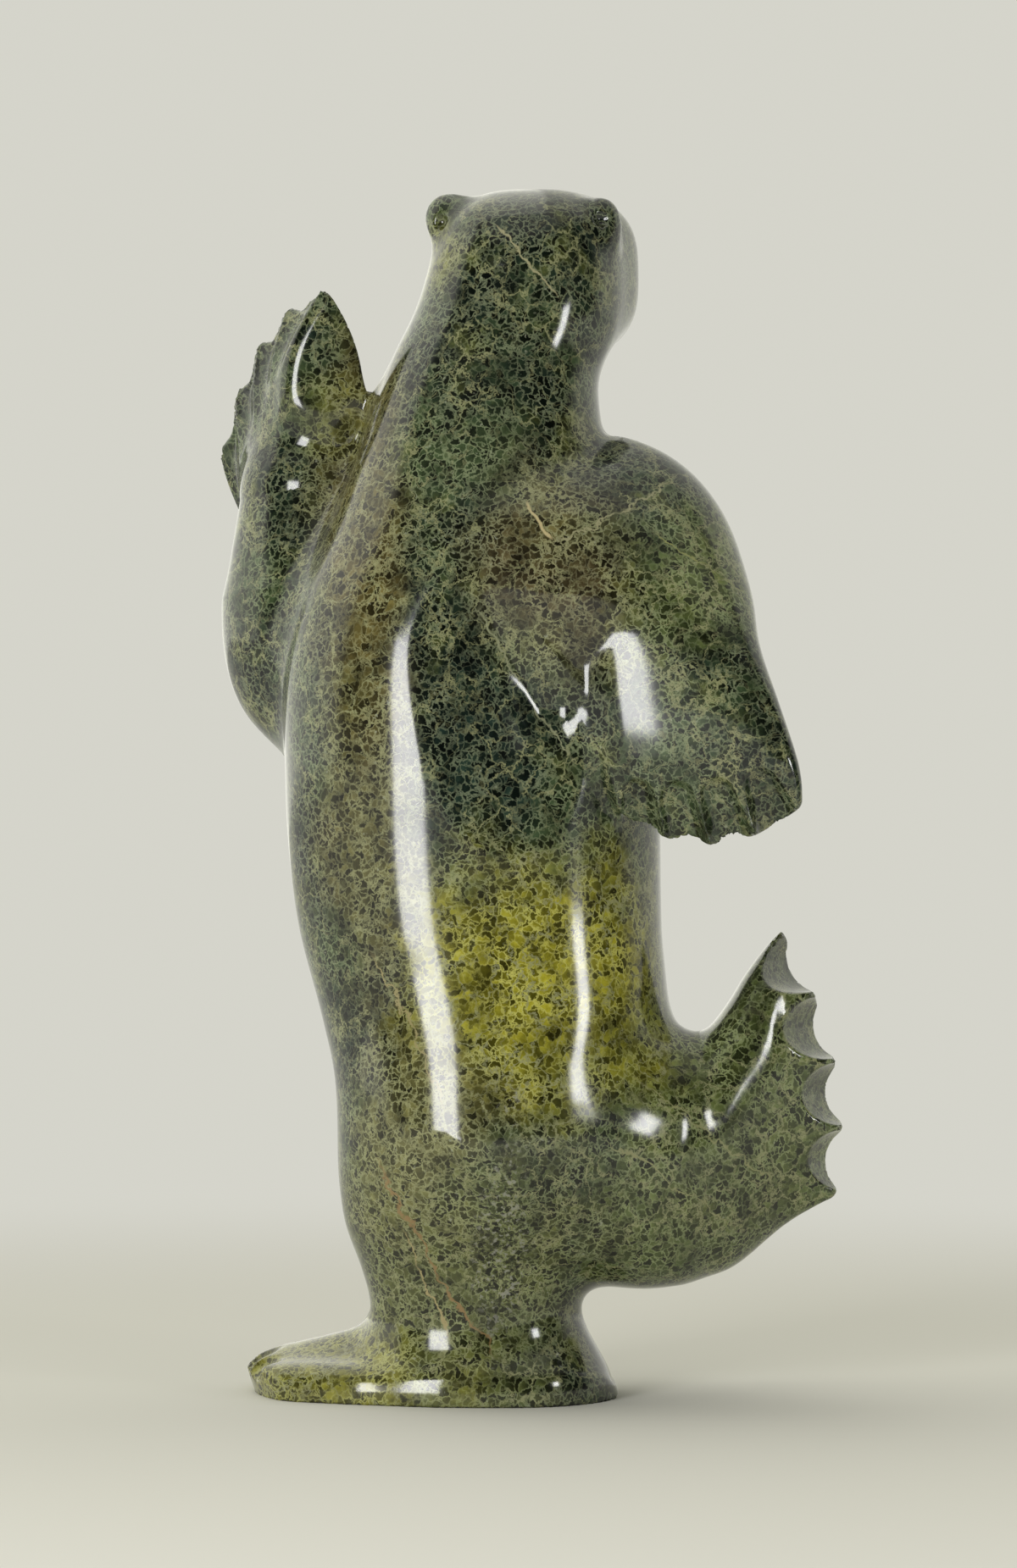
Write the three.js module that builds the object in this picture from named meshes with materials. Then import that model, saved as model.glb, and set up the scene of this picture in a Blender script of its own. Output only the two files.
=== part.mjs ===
// A dancing bear carved from one piece of polished serpentine, standing on its left foot.
// Millimetres, +Z up. The bear turns its back to -Y, so its right side is towards +X.
// The form is a field, the distance to the stone's skin, joined from a few swept masses.
// The skin is walked once on a grid, then thinned to few, well placed triangles.
import * as THREE from 'three';

// ---- Driving dimensions ----

const statueHeight = 400;
const modelledHeight = 400;
const skinCell = 2;
const triangleTarget = 9600;
const walkBox = { low: [-104, -72, -3.9], high: [120, 120, 408] };
const soleTouch = 0.5;
const claws = 5;

// A swept mass has a frame (origin, and the directions along, across and deep) and stations.
// Each station: place along, centre across, centre deep, half width across, half width deep,
// and where it changes along the mass, the squareness and the lie: how the section slants.
const upright = { origin: [0, 0, 0], along: [0, 0, 1], across: [1, 0, 0], deep: [0, 1, 0] };

const torso = {
  frame: upright,
  squareness: 2.15,
  ends: [30, 385],
  endRound: [26, 8],
  stations: [
    [45, -10, -3, 38, 34],
    [75, -6, -8.5, 45, 46.5],
    [99, -5.3, -6, 50, 50],
    [127, -5, 1, 57, 51.5],
    [155, -9.3, 3, 60, 52],
    [183, -11.3, 4, 61.6, 53],
    [211, -12, 4, 62, 54],
    [240, -12, 4, 62, 53.5],
    [265, -10, 5, 58.5, 51],
    [285, -9, 6, 51, 47.5],
    [306, -8.5, 7, 43.5, 41.5],
    [325, -7.5, 8.5, 38, 37],
    [345, -4, 11, 34, 33.5],
    [364, 2, 15, 30.5, 32],
    [384, 6, 18, 26, 30],
  ],
};

const headTurn = 11;
const headNod = 2;
const headCentre = [8.5, 20, 371.5];
const head = {
  frame: headFrame(headCentre, headTurn, headNod),
  squareness: 3,
  ends: [-36, 78],
  endRound: [16, 9],
  stations: [
    [-36, 0, 0, 27, 28],
    [-6, 0, 0, 29.5, 29],
    [16, 0, 1.5, 32.5, 26.8],
    [32, 0, -1, 28.5, 24.5],
    [44, 0, -4, 22.5, 21],
    [58, 0, -6, 19.5, 18.5],
    [78, 0, -7, 17.5, 16.5],
  ],
};
// The left ear lies flush with the crown, the right one is smaller and lower; both are hollow.
const ears = [
  { at: [-13, -26.5, 19.8], half: [6, 7.4, 7.6], hollow: [-7.5, -30, 20.5], dimple: [-20.5, -27.1, 17.3] },
  { at: [-13, 26, 17.2], half: [5.5, 5.2, 7.2], hollow: [-7.5, 29.5, 19], dimple: [-20.5, 26.6, 17.3] },
];
const earBlend = 7;
const earHollow = { radius: 4, dimpleRadius: 3.2 };
const eye = { forward: 36, aside: 22, up: 9, radius: 4 };
const nose = { forward: 75, up: 2.5, half: [7, 10, 7] };
const nostril = { forward: 82, aside: 4.5, up: 2, radius: 2 };
const mouth = { start: 48, end: 82, aside: 22.5, asideEnd: 10, up: -14, upEnd: -12.5, radius: 2 };

const rightArm = {
  frame: upright,
  ends: [168, 318],
  endRound: [4, 20],
  stations: [
    [174, 66, -46.5, 29, 2.5, 3.5, 0.2],
    [184, 66, -46, 29.5, 4, 3.5, 0.2],
    [194, 64.5, -44.5, 30, 6.5, 3.5, 0.2],
    [203, 62.7, -43, 31.5, 9, 3.6, 0.2],
    [211, 60.7, -41, 32, 12, 3.8, 0.2],
    [229, 55.5, -36, 31.5, 17, 3.6, 0.2],
    [247, 49.5, -27.5, 32, 23, 3, 0.18],
    [264, 42.5, -17, 37, 29.5, 2.5, 0.1],
    [285, 38.5, -9, 35.4, 31, 2.3, 0],
    [303, 37.5, -5, 30.5, 30, 2.3, 0],
    [318, 36, -2, 27, 28, 2.3, 0],
  ],
};
const hangingClaws = {
  middle: 64,
  lowest: 182.5,
  roundness: 73,
  spacing: 14.9,
  lean: 16,
  fan: 6,
  top: 197.3,
  topRise: 1.1,
  topBow: 0.9,
  back: -52,
  lie: 0.2,
  topProud: 1.5,
  tipSunk: 4,
  radii: [6.6, 7.7],
};

const standingLeg = {
  frame: upright,
  squareness: 2.2,
  ends: [-20, 118],
  endRound: [4, 24],
  stations: [
    [-20, -7, 0, 41, 34],
    [0, -8, 0, 41, 34],
    [8, -8.5, 0, 40.5, 33.5],
    [16, -9.5, 0, 38.5, 32.5],
    [24, -10.5, 0, 35.8, 31.5],
    [32, -11.3, 0, 34.3, 31.5],
    [43.5, -13, 0, 35, 32],
    [57.5, -17, -1, 35.5, 34],
    [71, -19, -1, 35, 37],
    [85, -20, -2, 34, 39],
    [118, -20, -2, 33, 39],
  ],
};

// The foot's slab, turned out to the bear's left, and the instep that slopes down on it.
const foot = {
  frame: { origin: [0, 0, 0], along: [-1, 0, 0], across: [0, 1, 0], deep: [0, 0, 1] },
  squareness: 4.5,
  ends: [-35, 100],
  endRound: [12, 4],
  stations: [
    [-34, 1, 0, 25, 13.5],
    [-10, 0, 0, 35, 14.5],
    [20, 2, 0, 37.5, 14.5],
    [48, 8, 0, 36.5, 13.5],
    [62, 12, 0, 35, 13.2],
    [75, 15, 0, 33, 12.2],
    [92, 17, 0, 32, 10],
  ],
};
const instep = { from: [-20, 4, 12], to: [-68, 14, 1.5], radii: [19.5, 12.5] };
const toeClaws = { middle: 17, farthest: 88, roundness: 110, spacing: 13, radius: 7.5, undercut: 0.35 };

const rightLeg = {
  frame: { origin: [0, 0, 0], along: [1, 0, 0], across: [0, 0, 1], deep: [0, 1, 0] },
  squareness: 2.3,
  ends: [-20, 122],
  endRound: [20, 4],
  stations: [
    [-10, 80, 0, 36, 40],
    [24, 79, -2, 38.8, 40],
    [40, 78, -3, 42, 37],
    [56, 78.3, -3, 41.5, 32],
    [65.5, 80.5, -2, 41, 27.5],
    [72.5, 86, -2, 44, 24],
    [78, 92.3, -2, 46.7, 21],
    [85.5, 100.5, -2, 48.5, 17],
    [91, 105.5, -2, 49, 13.5],
    [98, 109.5, -2.5, 48.5, 10.5],
    [108, 113, -4, 47, 6.5],
    [120, 115, -6, 47, 3.5],
  ],
};
const rightKnee = { from: [10, 20, 112], to: [44, 34, 74], radii: [34, 27] };
const raisedClaws = {
  middle: 88,
  farthest: 110,
  roundness: 219,
  first: 152.5,
  last: 68,
  radius: 10.5,
  bite: 6,
  biteLess: 0.6,
  slant: 28,
};

const leftShoulder = { from: [-34, 16, 262], to: [-60.5, 33, 250], radii: [34, 32.5] };
const leftForearm = { from: [-63, 33, 268], to: [-66.5, 34, 300], radii: [33, 24] };
const leftChest = { from: [-58, 31, 240], to: [-28, 24, 190], radii: [28, 24] };

// The raised paw in slices one claw step apart; the terms give a curve from the near claw back.
const leftPaw = {
  nearSide: 13,
  clawStep: 9.6,
  tip: { x: [-61.5, -12.6, 0.95], z: [366, -4.4, -2.1], radius: 1.9 },
  knuckle: { x: [-61.5, -3.3], z: [333, -9], radius: 14 },
  fullness: 2,
  gap: 5.5,
  groove: 2.2,
  nearBlend: 5,
  farBlend: 4,
};

// Below the shoulder a hollow parts the arm from the back: a deep groove in a wide, soft dip.
const armpit = { from: [-9, -57, 262], to: [14.5, -49.5, 226], radii: [9, 11] };
const armpitEnd = { from: [14.5, -49.5, 226], to: [20, -51, 202], radii: [11, 7] };
const armpitDip = { from: [-8, -83, 250], to: [6, -80.5, 212], radii: [35, 35] };
const shoulderBlend = { low: 238, full: 268, ebb: 288, high: 312, most: 28 };
const shoulderCrease = { from: [12, -37, 307], to: [34, -30, 320], radii: [3.5, 3.5] };
const rumpGroove = { from: [-26, -59.5, 79], to: [-13, -55, 58], radii: [9, 9] };

// How softly each mass runs into the next: the width of the rounding between them.
const joins = {
  head: 14,
  elbow: 10,
  chest: 20,
  paw: 10,
  leftArm: 9,
  standingLeg: 14,
  knee: 16,
  rightLeg: 16,
  instep: 12,
  foot: 8,
  armpit: 3,
  armpitDip: 12,
  shoulderCrease: 3,
  rightArm: 6,
  rumpGroove: 5,
  clawRidge: 1.2,
  clawEdge: 2,
  toeEdge: 4,
  faceCut: 1.5,
};

// ---- Small vector and blending tools ----

const dot = (a, b) => a[0] * b[0] + a[1] * b[1] + a[2] * b[2];
const minus = (a, b) => [a[0] - b[0], a[1] - b[1], a[2] - b[2]];
const plus = (a, b) => [a[0] + b[0], a[1] + b[1], a[2] + b[2]];
const times = (a, s) => [a[0] * s, a[1] * s, a[2] * s];
function radians(degrees) {
  return degrees * Math.PI / 180;
}

function smoothMin(a, b, blend) {
  const near = Math.max(blend - Math.abs(a - b), 0) / blend;
  return Math.min(a, b) - near * near * blend / 4;
}
const smoothMax = (a, b, blend) => -smoothMin(-a, -b, blend);
function easeBetween(low, high, value) {
  const t = Math.min(Math.max((value - low) / (high - low), 0), 1);
  return t * t * (3 - 2 * t);
}

function headFrame(origin, turn, nod) {
  const t = radians(turn);
  const n = radians(nod);
  const along = [Math.sin(t) * Math.cos(n), Math.cos(t) * Math.cos(n), Math.sin(n)];
  const across = [Math.cos(t), -Math.sin(t), 0];
  const deep = [-Math.sin(t) * Math.sin(n), -Math.cos(t) * Math.sin(n), Math.cos(n)];
  return { origin, along, across, deep };
}

const toFrame = (p, frame) => {
  const q = minus(p, frame.origin);
  return [dot(q, frame.along), dot(q, frame.across), dot(q, frame.deep)];
};

// ---- Distances to simple masses ----

function ellipsoid(p, half) {
  const k0 = Math.hypot(p[0] / half[0], p[1] / half[1], p[2] / half[2]);
  const k1 = Math.hypot(p[0] / half[0] ** 2, p[1] / half[1] ** 2, p[2] / half[2] ** 2);
  return k0 * (k0 - 1) / Math.max(k1, 1e-9);
}

function taperedRod(p, from, to, [radiusFrom, radiusTo]) {
  const axis = minus(to, from);
  const share = Math.min(Math.max(dot(minus(p, from), axis) / dot(axis, axis), 0), 1);
  const away = minus(p, plus(from, times(axis, share)));
  return Math.sqrt(dot(away, away)) - radiusFrom - (radiusTo - radiusFrom) * share;
}

// Smooth values between stations, by a cubic through them, kept in a fine table.
function stationTable(stations, step = 1) {
  const first = stations[0][0];
  const last = stations[stations.length - 1][0];
  const count = Math.ceil((last - first) / step) + 1;
  const columns = stations[0].length - 1;
  const slope = stations.map((row, i) => {
    const before = stations[Math.max(i - 1, 0)];
    const after = stations[Math.min(i + 1, stations.length - 1)];
    return row.map((value, c) => (after[c] - before[c]) / (after[0] - before[0]));
  });
  const rows = [];
  let i = 0;
  for (let n = 0; n < count; n++) {
    const at = Math.min(first + n * step, last);
    while (i < stations.length - 2 && at > stations[i + 1][0]) i++;
    const span = stations[i + 1][0] - stations[i][0];
    const t = (at - stations[i][0]) / span;
    const row = [];
    for (let c = 1; c <= columns; c++) {
      const a = stations[i][c];
      const b = stations[i + 1][c];
      const da = slope[i][c] * span;
      const db = slope[i + 1][c] * span;
      row.push(a + t * (da + t * (3 * (b - a) - 2 * da - db + t * (2 * (a - b) + da + db))));
    }
    rows.push(row);
  }
  return (at) => {
    const place = Math.min(Math.max((at - first) / step, 0), count - 1.000001);
    const n = Math.floor(place);
    const t = place - n;
    return rows[n].map((value, c) => value + (rows[n + 1][c] - value) * t);
  };
}

function sweep(mass) {
  const section = stationTable(mass.stations);
  return (p) => {
    const [along, across, deep] = toFrame(p, mass.frame);
    const [centreAcross, centreDeep, halfAcross, halfDeep, power = mass.squareness, lie = 0] = section(along);
    const u = Math.abs(across - centreAcross) / halfAcross;
    const v = Math.abs(deep - centreDeep + lie * (across - centreAcross)) / halfDeep;
    const k = Math.max((u ** power + v ** power) ** (1 / power), 1e-4);
    const steepness = Math.hypot((u / k) ** (power - 1) / halfAcross, (v / k) ** (power - 1) / halfDeep);
    const side = (k - 1) / steepness;
    const start = smoothMax(side, mass.ends[0] - along, mass.endRound[0] * 2);
    return smoothMax(start, along - mass.ends[1], mass.endRound[1] * 2);
  };
}

// ---- The bear's parts ----

const torsoField = sweep(torso);
const headField = sweep(head);
const rightArmField = sweep(rightArm);
const standingLegField = sweep(standingLeg);
const footField = sweep(foot);
const rightLegField = sweep(rightLeg);

function headDistance(p) {
  const q = toFrame(p, head.frame);
  const mirrored = [q[0], Math.abs(q[1]), q[2]];
  let d = headField(p);
  for (const { at, half, hollow, dimple } of ears) {
    d = smoothMin(d, ellipsoid(minus(q, at), half), earBlend);
    d = smoothMax(d, earHollow.radius - Math.hypot(...minus(q, hollow)), joins.faceCut);
    d = smoothMax(d, earHollow.dimpleRadius - Math.hypot(...minus(q, dimple)), joins.faceCut);
  }
  d = smoothMin(d, Math.hypot(...minus(mirrored, [eye.forward, eye.aside, eye.up])) - eye.radius, 1);
  d = smoothMin(d, ellipsoid(minus(mirrored, [nose.forward, 0, nose.up]), nose.half), 2);
  const nostrilGap = Math.hypot(...minus(mirrored, [nostril.forward, nostril.aside, nostril.up]));
  d = smoothMax(d, nostril.radius - nostrilGap, 1);
  const mouthRod = taperedRod(mirrored, [mouth.start, mouth.aside, mouth.up],
    [mouth.end, mouth.asideEnd, mouth.upEnd], [mouth.radius, mouth.radius]);
  return smoothMax(d, -mouthRod, joins.faceCut);
}

// The scoops between the claws of the hanging paw run down its back and over its lower edge.
const hangingScoops = [];
for (let i = 0; i < claws - 1; i++) {
  const place = i - (claws - 2) / 2;
  const x = hangingClaws.middle + place * hangingClaws.spacing;
  const z = hangingClaws.lowest + (x - hangingClaws.middle) ** 2 / hangingClaws.roundness;
  const slope = Math.tan(radians(hangingClaws.lean + place * hangingClaws.fan));
  const top = hangingClaws.top + hangingClaws.topRise * place + hangingClaws.topBow * place ** 2;
  const away = hangingClaws.back - hangingClaws.lie * (x - hangingClaws.middle);
  hangingScoops.push({
    from: [x - slope * (top - z), away - hangingClaws.topProud, top],
    to: [x + slope * 3, away + hangingClaws.tipSunk, z - 3],
  });
}

function rightArmDistance(p) {
  const edge = hangingClaws.lowest + (p[0] - hangingClaws.middle) ** 2 / hangingClaws.roundness;
  let d = smoothMax(rightArmField(p), edge - p[2], joins.clawEdge);
  for (const { from, to } of hangingScoops) {
    d = smoothMax(d, -taperedRod(p, from, to, hangingClaws.radii), joins.clawRidge);
  }
  return d;
}

// The raised foot ends in a fan; round cuts across its edge leave the claws.
const raisedScoops = [];
for (let i = 0; i < claws - 1; i++) {
  const share = (i + 0.5) / (claws - 1);
  const z = raisedClaws.first + (raisedClaws.last - raisedClaws.first) * share;
  const x = raisedClaws.farthest - (z - raisedClaws.middle) ** 2 / raisedClaws.roundness;
  const slope = -2 * (z - raisedClaws.middle) / raisedClaws.roundness;
  const out = Math.hypot(1, slope);
  const setBack = raisedClaws.radius - raisedClaws.bite + raisedClaws.biteLess * i;
  const outward = [1 / out, 0, -slope / out];
  const centre = plus([x, 0, z], times(outward, setBack));
  const reach = 30;
  const lean = Math.tan(radians(raisedClaws.slant)) * reach;
  raisedScoops.push({ from: plus(centre, [-lean, -reach, 0]), to: plus(centre, [lean, reach, 0]) });
}

function rightLegDistance(p) {
  const edge = raisedClaws.farthest - (p[2] - raisedClaws.middle) ** 2 / raisedClaws.roundness;
  let d = smoothMin(rightLegField(p), taperedRod(p, rightKnee.from, rightKnee.to, rightKnee.radii), joins.knee);
  d = smoothMax(d, p[0] - edge, joins.clawEdge);
  for (const { from, to } of raisedScoops) {
    const scoop = taperedRod(p, from, to, [raisedClaws.radius, raisedClaws.radius]);
    d = smoothMax(d, -scoop, joins.clawRidge);
  }
  return d;
}

// The toes of the standing foot, seen from above, end in a round edge with shallow scoops.
function footDistance(p) {
  const edge = toeClaws.farthest - (p[1] - toeClaws.middle) ** 2 / toeClaws.roundness;
  const reach = edge - toeClaws.undercut * Math.max(10 - p[2], 0);
  let d = smoothMin(footField(p), taperedRod(p, instep.from, instep.to, instep.radii), joins.instep);
  d = smoothMax(d, -p[0] - reach, joins.toeEdge);
  for (let i = 0; i < claws - 1; i++) {
    const y = toeClaws.middle + (i - (claws - 2) / 2) * toeClaws.spacing;
    const x = -toeClaws.farthest + (y - toeClaws.middle) ** 2 / toeClaws.roundness;
    const rod = taperedRod(p, [x + 10, y, 23], [x - 7, y, 7], [toeClaws.radius, toeClaws.radius]);
    d = smoothMax(d, -rod, joins.clawRidge);
  }
  return d;
}

// The raised paw is a wedge from knuckles to claw tips, shifted slice by slice with depth.
const curveAt = (terms, s) => terms.reduce((sum, term, n) => sum + term * s ** n, 0);

function pawSlice(s) {
  const tip = [curveAt(leftPaw.tip.x, s), curveAt(leftPaw.tip.z, s)];
  const knuckle = [curveAt(leftPaw.knuckle.x, s), curveAt(leftPaw.knuckle.z, s)];
  return { tip, knuckle };
}

function leftPawDistance(p) {
  const s = Math.min(Math.max((p[1] - leftPaw.nearSide) / leftPaw.clawStep, -0.2), claws - 0.8);
  const { tip, knuckle } = pawSlice(s);
  const hollow = Math.abs(Math.sin(Math.PI * Math.min(Math.max(s, 0), claws - 1)));
  const run = [tip[0] - knuckle[0], tip[1] - knuckle[1]];
  const length = Math.hypot(...run);
  const from = [p[0] - knuckle[0], p[2] - knuckle[1]];
  const end = 1 - leftPaw.gap * hollow / length;
  const share = Math.min(Math.max((from[0] * run[0] + from[1] * run[1]) / length ** 2, 0), end);
  const away = Math.hypot(from[0] - run[0] * share, from[1] - run[1] * share);
  const taper = leftPaw.tip.radius - leftPaw.knuckle.radius;
  const grooved = leftPaw.groove * hollow * Math.min(Math.max(share * 2 - 0.6, 0), 1);
  let d = 0.85 * (away - leftPaw.knuckle.radius - taper * share ** leftPaw.fullness + grooved);
  const farSide = leftPaw.nearSide + (claws - 1) * leftPaw.clawStep;
  d = smoothMax(d, leftPaw.nearSide - leftPaw.tip.radius - p[1], leftPaw.nearBlend);
  return smoothMax(d, p[1] - farSide - leftPaw.tip.radius, leftPaw.farBlend);
}

function leftArmDistance(p) {
  const upper = taperedRod(p, leftShoulder.from, leftShoulder.to, leftShoulder.radii);
  const lower = taperedRod(p, leftForearm.from, leftForearm.to, leftForearm.radii);
  const chest = taperedRod(p, leftChest.from, leftChest.to, leftChest.radii);
  const arm = smoothMin(smoothMin(upper, lower, joins.elbow), chest, joins.chest);
  return smoothMin(arm, leftPawDistance(p), joins.paw);
}

function bearDistance(x, y, z) {
  const p = [x, y, z];
  const rodOf = (rod) => taperedRod(p, rod.from, rod.to, rod.radii);
  const swell = easeBetween(shoulderBlend.low, shoulderBlend.full, z)
    * (1 - easeBetween(shoulderBlend.ebb, shoulderBlend.high, z));
  let d = torsoField(p);
  d = smoothMin(d, headDistance(p), joins.head);
  d = smoothMin(d, leftArmDistance(p), joins.leftArm);
  d = smoothMin(d, standingLegField(p), joins.standingLeg);
  d = smoothMin(d, rightLegDistance(p), joins.rightLeg);
  d = smoothMin(d, footDistance(p), joins.foot);
  d = smoothMax(d, -rodOf(armpitDip), joins.armpitDip);
  d = smoothMin(d, rightArmDistance(p), joins.rightArm + (shoulderBlend.most - joins.rightArm) * swell);
  d = smoothMax(d, -Math.min(rodOf(armpit), rodOf(armpitEnd)), joins.armpit);
  d = smoothMax(d, -rodOf(shoulderCrease), joins.shoulderCrease);
  d = smoothMax(d, -rodOf(rumpGroove), joins.rumpGroove);
  return Math.max(d, -z);
}

// ---- Walking the skin on a grid ----

// The eight corners of a grid cell, numbered by their bits, and its twelve edges.
const corner = [];
const edges = [];
for (let n = 0; n < 8; n++) {
  corner.push([n & 1, (n >> 1) & 1, n >> 2]);
  for (const step of [1, 2, 4]) if (!(n & step)) edges.push([n, n + step]);
}

// True for a set of corners that hang together along the cell's edges.
function hangsTogether(set) {
  let grown = set & -set;
  for (let pass = 0; pass < 4; pass++) {
    for (let n = 0; n < 8; n++) {
      if (grown & (1 << n)) for (const step of [1, 2, 4]) grown |= set & (1 << (n ^ step));
    }
  }
  return grown === set;
}
const cleanCell = Array.from({ length: 256 }, (_, set) => hangsTogether(set) && hangsTogether(255 - set));

// Where the stone would touch itself across a cell, the nearest empty corner is filled.
function untangle(values, index, [nx, ny, nz], filled) {
  let tangled = true;
  while (tangled) {
    tangled = false;
    for (let k = 0; k < nz - 1; k++) {
      for (let j = 0; j < ny - 1; j++) {
        for (let i = 0; i < nx - 1; i++) {
          let set = 0;
          let nearest = -1;
          corner.forEach(([a, b, c], n) => {
            const at = index(i + a, j + b, k + c);
            if (values[at] < 0) set |= 1 << n;
            else if (nearest < 0 || values[at] < values[nearest]) nearest = at;
          });
          if (cleanCell[set]) continue;
          values[nearest] = filled;
          tangled = true;
        }
      }
    }
  }
}

function skin(distance, low, high, cell) {
  const block = 4;
  const size = low.map((v, i) => block * Math.ceil((high[i] - v) / (cell * block)) + 1);
  const [nx, ny, nz] = size;
  const index = (i, j, k) => (k * ny + j) * nx + i;
  const at = (i, j, k) => distance(low[0] + i * cell, low[1] + j * cell, low[2] + k * cell);
  const values = new Float64Array(nx * ny * nz).fill(NaN);
  const slack = 1.5;
  const reach = block * cell * Math.sqrt(3) / 2 * slack;
  const eachNode = (i, j, k, act) => {
    for (let c = k; c <= k + block; c++) {
      for (let b = j; b <= j + block; b++) {
        for (let a = i; a <= i + block; a++) act(index(a, b, c), a, b, c);
      }
    }
  };
  for (let k = 0; k < nz - 1; k += block) {
    for (let j = 0; j < ny - 1; j += block) {
      for (let i = 0; i < nx - 1; i += block) {
        const middle = at(i + block / 2, j + block / 2, k + block / 2);
        if (Math.abs(middle) > reach) {
          eachNode(i, j, k, (n) => { if (Number.isNaN(values[n])) values[n] = middle; });
        } else {
          eachNode(i, j, k, (n, a, b, c) => { values[n] = at(a, b, c); });
        }
      }
    }
  }
  untangle(values, index, size, -cell / 20);
  const vertexOf = new Int32Array(values.length).fill(-1);
  const points = [];
  for (let k = 0; k < nz - 1; k++) {
    for (let j = 0; j < ny - 1; j++) {
      for (let i = 0; i < nx - 1; i++) {
        const v = corner.map(([a, b, c]) => values[index(i + a, j + b, k + c)]);
        const inside = v.filter((value) => value < 0).length;
        if (inside === 0 || inside === 8) continue;
        const sum = [0, 0, 0];
        let hits = 0;
        for (const [a, b] of edges) {
          if ((v[a] < 0) === (v[b] < 0)) continue;
          const t = v[a] / (v[a] - v[b]);
          for (let c = 0; c < 3; c++) sum[c] += corner[a][c] + t * (corner[b][c] - corner[a][c]);
          hits++;
        }
        vertexOf[index(i, j, k)] = points.length;
        points.push([
          low[0] + (i + sum[0] / hits) * cell,
          low[1] + (j + sum[1] / hits) * cell,
          low[2] + (k + sum[2] / hits) * cell,
        ]);
      }
    }
  }
  const triangles = [];
  const addQuad = (a, b, c, d, flip) => {
    const q = [a, b, c, d].map((n) => vertexOf[n]);
    if (flip) q.reverse();
    triangles.push([q[0], q[1], q[2]], [q[0], q[2], q[3]]);
  };
  for (let k = 1; k < nz - 1; k++) {
    for (let j = 1; j < ny - 1; j++) {
      for (let i = 1; i < nx - 1; i++) {
        const here = values[index(i, j, k)] < 0;
        if (here !== values[index(i + 1, j, k)] < 0) {
          addQuad(index(i, j - 1, k - 1), index(i, j, k - 1), index(i, j, k), index(i, j - 1, k), !here);
        }
        if (here !== values[index(i, j + 1, k)] < 0) {
          addQuad(index(i - 1, j, k - 1), index(i - 1, j, k), index(i, j, k), index(i, j, k - 1), !here);
        }
        if (here !== values[index(i, j, k + 1)] < 0) {
          addQuad(index(i - 1, j - 1, k), index(i, j - 1, k), index(i, j, k), index(i - 1, j, k), !here);
        }
      }
    }
  }
  return { points, triangles };
}

function settle(points, distance, steps, limit) {
  const e = 0.05;
  const flattest = 0.2;
  for (const p of points) {
    const start = [...p];
    for (let n = 0; n < steps; n++) {
      const d = distance(...p);
      const g = [
        distance(p[0] + e, p[1], p[2]) - distance(p[0] - e, p[1], p[2]),
        distance(p[0], p[1] + e, p[2]) - distance(p[0], p[1] - e, p[2]),
        distance(p[0], p[1], p[2] + e) - distance(p[0], p[1], p[2] - e),
      ].map((v) => v / (2 * e));
      const steep = Math.max(dot(g, g), flattest);
      for (let c = 0; c < 3; c++) p[c] -= d * g[c] / steep;
    }
    const moved = Math.hypot(...minus(p, start));
    if (moved > limit) start.forEach((v, c) => { p[c] = v + (p[c] - v) * limit / moved; });
  }
}

// ---- Thinning the skin: edges fold where the shape changes least ----

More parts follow.
